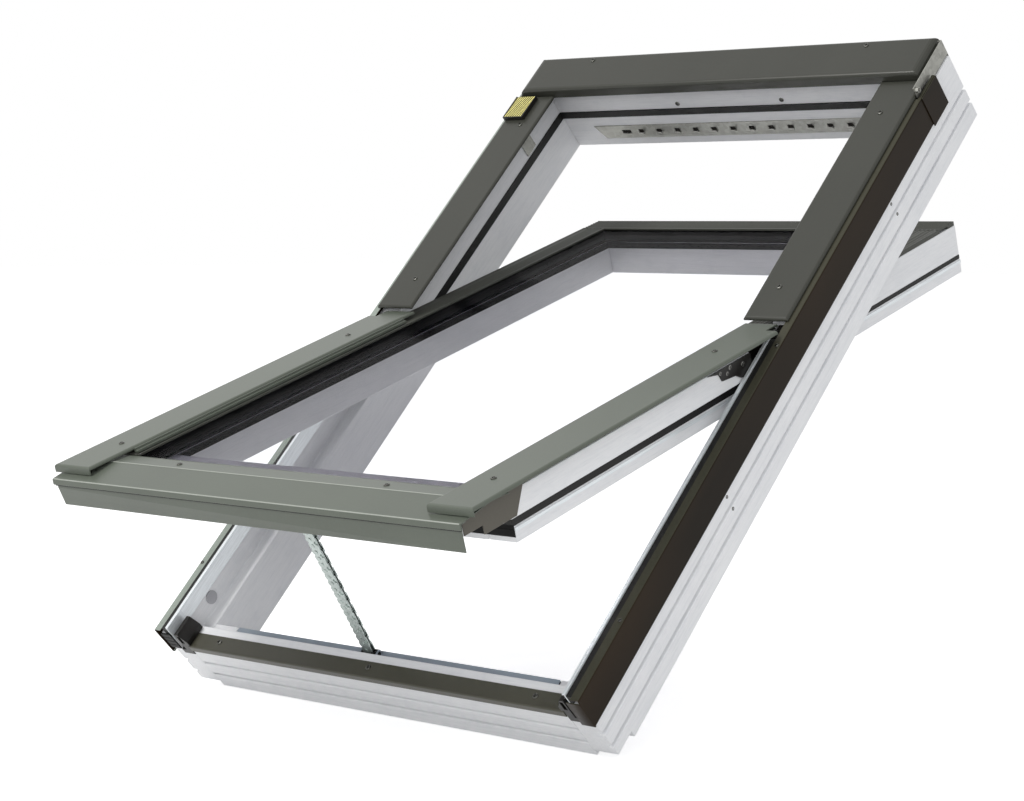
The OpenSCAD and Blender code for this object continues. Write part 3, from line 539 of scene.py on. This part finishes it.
# Ribbed dark felt behind the vent strip
FELT_HALF, FELT_PITCH, FELT_LEVELS = 240, 4, (24, 34)
FELT_FACE, FELT_RIB, FELT_BACK = 546.0, 0.7, 548.0
count = 2 * FELT_HALF // FELT_PITCH
ribs = [(FELT_PITCH * k - FELT_HALF, FELT_FACE + FELT_RIB * (k % 2)) for k in range(count + 1)]
net = bmesh.new()
front = [[net.verts.new((x, y, z)) for x, y in ribs] for z in FELT_LEVELS]
back = [[net.verts.new((x, FELT_BACK, z)) for x, y in ribs] for z in FELT_LEVELS]
rows = [front[0], front[1], back[1], back[0]]
for k in range(count):
    for a, b in zip(rows, rows[1:] + rows[:1]):
        net.faces.new((a[k], a[k + 1], b[k + 1], b[k]))
for k in (0, -1):
    net.faces.new([row[k] for row in rows])
mesh_piece("vent_felt", net, ROOF, dull("felt", FELT, 0.8, PITCH, 300), "frame")

# Screw heads of the hinge plates, given as Y, Z and radius
HINGE_FACE, HINGE_SCREW_HEIGHT = 365.9, 0.6
HINGE_SCREWS = ((-85, 113, 3.4), (-57, 108, 3.4), (-108, 112.2, 2.8), (-93, 107, 3.0))
net = bmesh.new()
for side in (-1, 1):
    for y, z, r in HINGE_SCREWS:
        screw_head(net, beside(side, HINGE_FACE, y, z), r, HINGE_SCREW_HEIGHT)
mesh_piece("hinge_screw_heads", net, SASH, metal("hinge_steel", HINGE_STEEL, 0.25), "sash")

# Stepped glazing beads between the side covers and the glass
BEAD = ((312.4, 124.6), (312.4, 131.4), (308.6, 131.4), (308.6, 128.4), (304.6, 128.4), (304.6, 124.6))
BEAD_ENDS = (-550, 6)
net = bmesh.new()
for mirrored in (False, True):
    extruded(net, BEAD, BEAD_ENDS, mirrored)
edged(mesh_piece("glazing_beads", net, SASH, finish["sash_left_cover"], "sash"), width=0.0006)

# Black lips on the inner faces of the stiles and the top rail, close under the glass
GLAZING_LIP = ((299.95, 97.4), (298.6, 97.4), (298.2, 93.0), (298.8, 87.5), (299.95, 87.2))
STILE_LIP_ENDS, RAIL_LIP_ENDS = (-489.8, 499.8), (-298, 298)
STILE_TO_RAIL = 200
net = bmesh.new()
for mirrored in (False, True):
    extruded(net, GLAZING_LIP, STILE_LIP_ENDS, mirrored)
prism(net, [[(x, STILE_TO_RAIL + y, z) for y, z in GLAZING_LIP] for x in RAIL_LIP_ENDS])
mesh_piece("glazing_lips", net, SASH, finish["glass_spacer"], "sash")

# Lower ends of the jamb strips and their seals
STRIP = ((369.9, 105), (371.9, 105), (371.9, 130.9), (366.9, 130.9), (366.9, 129.6), (369.9, 129.6))
SEAL = ((372.1, 110.3), (381.4, 117.8), (381.4, 127.0), (380.7, 127.0), (380.7, 128.4), (372.1, 128.4))
STRIP_ENDS = (-589.5, -554.9)
STRIP_KEEP, SEAL_KEEP = 0.58, 0.55
for name, outline, mat, keep in (("strip_ends", STRIP, finish["left_strip"], STRIP_KEEP),
                                 ("seal_ends", SEAL, finish["left_strip_seal"], SEAL_KEEP)):
    net = bmesh.new()
    for mirrored in (False, True):
        extruded(net, outline, STRIP_ENDS, mirrored)
    ends = mesh_piece(name, net, ROOF, mat, "frame")
    edged(ends, width=0.0004)
    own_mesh(ends)

# Pressed beads along the folds of the bottom cover, given in Y and Z; their pale colour is a painted
# highlight
FOLDS = ((-589.0, 126.25), (-646.9, 119.4))
FOLD_HALF, FOLD_RADIUS = 374, 0.9
net = bmesh.new()
for y, z in FOLDS:
    rod(net, FOLD_HALF, y, z, FOLD_RADIUS)
mesh_piece("cover_beads", net, SASH, coated("fold_highlight_paint", PAINTED_FOLD_HIGHLIGHT, LEVEL["sash"], rough=0.25), "sash")

# Black rod under the lip of the bottom cover: a painted shadow in the gap between lip and apron
SHADOW_STRIP_HALF, SHADOW_STRIP_Y, SHADOW_STRIP_Z, SHADOW_STRIP_RADIUS = 373, -645.4, 110.6, 1.6
net = bmesh.new()
rod(net, SHADOW_STRIP_HALF, SHADOW_STRIP_Y, SHADOW_STRIP_Z, SHADOW_STRIP_RADIUS)
mesh_piece("lip_joint", net, SASH, finish["sash_gaskets"], "sash")

# Ribbed black seals over the lower end of the sash, beside the end plates
SASH_RIBS, SASH_RIB_PITCH = 3, 10.6
SASH_RIB = ((262, 345.8), (-530.6, -529.6), (52, 62))
SASH_RIB_BACK = ((261, 345.9), (-529.9, -529.05), (51.5, 83.9))
net = bmesh.new()
for mirrored in (False, True):
    ribbed_seal(net, SASH_RIBS, SASH_RIB_PITCH, SASH_RIB, SASH_RIB_BACK, mirrored)
edged(mesh_piece("sash_end_seals", net, SASH, finish["glass_spacer"], "sash"), width=0.0003)

# Timber top of the bottom rail over the chain bracket
LID = ((-51.8, 97.1), (-4.2, 97.1), (-4.2, 97.8), (-4.6, 98.2), (-51.4, 98.2), (-51.8, 97.8))
LID_ENDS = (-548.8, -527.2)
net = bmesh.new()
extruded(net, LID, LID_ENDS)
mesh_piece("bracket_lid", net, SASH, finish["sash_bottom_rail"], "sash")

# Ribbed seal over the open end of the left jamb, behind the flashing
JAMB_RIBS, JAMB_RIB_PITCH = 4, 8
JAMB_RIB = ((371, 391), (-592.2, -590.1), (86, 93))
JAMB_RIB_BACK = ((371, 391), (-591.4, -590.05), (85, 118))
net = bmesh.new()
ribbed_seal(net, JAMB_RIBS, JAMB_RIB_PITCH, JAMB_RIB, JAMB_RIB_BACK, mirrored=True)
edged(mesh_piece("left_end_seal", net, ROOF, finish["left_strip_seal"], "frame"), width=0.0005)

# The chain runs into its housing as the sash shuts; the links get a mesh of their own, and the share that
# would stay out at the end of the slide is worked out
LEAST_KEPT = 0.01
links = nodes["chain_links"]
closing = bpy.data.objects.new("closing_links", links.data.copy())
closing.matrix_world = links.matrix_world
collection.objects.link(closing)
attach(closing, "chain")
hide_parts("chain_links")
slide = joints["chain_extend"]
run_in = Vector(slide["axis"])
depths = [run_in.dot(v.co) for v in closing.data.vertices]
keep = max(LEAST_KEPT, 1 - slide["range_m"][1] / (max(depths) - min(depths)))
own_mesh(closing)

# Sensor face: gold stripes on a dark plate, slanted by some stripes' width and kept within the plate
SENSOR_LEFT, SENSOR_RIGHT = -382.2, -344.8
SENSOR_LOW, SENSOR_UP = 465.4, 512.6
SENSOR_FACES = (140.05, 140.3)
STRIPES, STRIPE_SHARE, STRIPE_SLANT = 8, 0.44, 2.6
THINNEST = 0.05
step = (SENSOR_RIGHT - SENSOR_LEFT) / STRIPES


def across_sensor(steps):
    return min(max(SENSOR_LEFT + steps * step, SENSOR_LEFT), SENSOR_RIGHT)


net = bmesh.new()
for k in range(-math.ceil(STRIPE_SLANT), STRIPES + 1):
    far = k + STRIPE_SLANT
    corners = [(across_sensor(k), SENSOR_LOW), (across_sensor(k + STRIPE_SHARE), SENSOR_LOW),
               (across_sensor(far + STRIPE_SHARE), SENSOR_UP), (across_sensor(far), SENSOR_UP)]
    outline = [q for i, q in enumerate(corners) if math.dist(q, corners[i - 1]) > THINNEST]
    if len(outline) >= 3:
        prism(net, [[(x, y, z) for x, y in outline] for z in SENSOR_FACES])
gold_stripes = metal("gold_stripes", STRIPE_GOLD, 0.35, PITCH, weight=0.4)
mesh_piece("sensor_stripes", net, ROOF, gold_stripes, "frame", "sensor_grid")

# Camera, in metres, with lens and film width in millimetres
CAMERA_PLACE = (2.2648, -2.3247, 0.6337)
CAMERA_AHEAD, CAMERA_RIGHT = Vector((-0.6571, 0.7504, -0.0704)), Vector((0.7522, 0.6590, 0.0040))
LENS, FILM_WIDTH = 85.52, 36.0
NEAREST, FARTHEST = 0.05, 100
camera = bpy.data.objects.new("camera", bpy.data.cameras.new("camera"))
collection.objects.link(camera)
ahead = CAMERA_AHEAD.normalized()
right = (CAMERA_RIGHT - CAMERA_RIGHT.dot(ahead) * ahead).normalized()
up = right.cross(ahead)
turn = Matrix((right, up, -ahead)).transposed().to_4x4()
camera.matrix_world = Matrix.Translation(CAMERA_PLACE) @ turn
camera.data.sensor_width = FILM_WIDTH
camera.data.sensor_fit = "HORIZONTAL"
camera.data.lens = LENS
camera.data.clip_start = NEAREST
camera.data.clip_end = FARTHEST
bpy.context.scene.camera = camera


# Background and light
def seen_directly(tree):
    """1 for camera, glossy and transmission rays that met no matt surface before, 0 for the rest."""
    path = tree.nodes.new("ShaderNodeLightPath")

    def maths(operation, a, b):
        made = tree.nodes.new("ShaderNodeMath")
        made.operation = operation
        for value, socket in ((a, made.inputs[0]), (b, made.inputs[1])):
            if isinstance(value, float):
                socket.default_value = value
            else:
                tree.links.new(value, socket)
        return made.outputs[0]

    clear_way = maths("MAXIMUM", path.outputs["Is Glossy Ray"], path.outputs["Is Transmission Ray"])
    seen = maths("MAXIMUM", path.outputs["Is Camera Ray"], clear_way)
    no_matt = maths("LESS_THAN", path.outputs["Diffuse Depth"], 0.5)
    return maths("MULTIPLY", seen, no_matt)


def background(tree, colour, strength):
    made = tree.nodes.new("ShaderNodeBackground")
    made.inputs["Color"].default_value = (*colour, 1)
    made.inputs["Strength"].default_value = strength
    return made.outputs[0]


SKY_STRENGTH, WHITE_STRENGTH = 0.68, 1.0
world = bpy.data.worlds.new("studio")
bpy.context.scene.world = world
world.use_nodes = True
tree = world.node_tree
tree.nodes.clear()
out = tree.nodes.new("ShaderNodeOutputWorld")
either = tree.nodes.new("ShaderNodeMixShader")
tree.links.new(seen_directly(tree), either.inputs[0])
tree.links.new(background(tree, SKY, SKY_STRENGTH), either.inputs[1])
tree.links.new(background(tree, WHITE, WHITE_STRENGTH), either.inputs[2])
tree.links.new(either.outputs[0], out.inputs[0])


def lamp(name, place, towards, power, colour=WHITE, size=1.6):
    data = bpy.data.lights.new(name, "AREA")
    data.shape = "DISK"
    data.size = size
    data.energy = power
    data.color = colour
    obj = bpy.data.objects.new(name, data)
    collection.objects.link(obj)
    obj.location = place
    obj.rotation_mode = "QUATERNION"
    obj.rotation_quaternion = (Vector(towards) - Vector(place)).to_track_quat("-Z", "Y")


lamp("key", place=(-1.4, -1.8, 3.4), towards=(0, 0.4, 0.4), power=72, colour=KEY_LIGHT)
lamp("front", place=(1.2, -3.2, 0.9), towards=(0, 0.5, 0.5), power=15)
lamp("side", place=(2.6, -2.2, 1.0), towards=(0, 0.5, 0.6), power=15)

# Pale floor, lifted towards white where it is seen directly
FLOOR_HALF, FLOOR_DROP, FLOOR_LIFT = 30, 0.0005, 0.62
floor_mesh = bpy.data.meshes.new("floor")
net = bmesh.new()
bmesh.ops.create_grid(net, x_segments=1, y_segments=1, size=FLOOR_HALF)
net.to_mesh(floor_mesh)
net.free()
floor = bpy.data.objects.new("floor", floor_mesh)
floor.location.z = cad_box[0].z - FLOOR_DROP
collection.objects.link(floor)
ground = Graph("ground")
ground.set(Base_Color=(*FLOOR_GREY, 1), Roughness=0.9, Specular_IOR_Level=0.0, Emission_Color=(*WHITE, 1))
lift = ground.node("ShaderNodeMath", operation="MULTIPLY")
lift.inputs[1].default_value = FLOOR_LIFT
ground.link(seen_directly(ground.tree), lift.inputs[0])
ground.feed(Emission_Strength=lift.outputs[0])
floor_mesh.materials.append(ground.mat)

bpy.context.scene.view_settings.view_transform = "Standard"
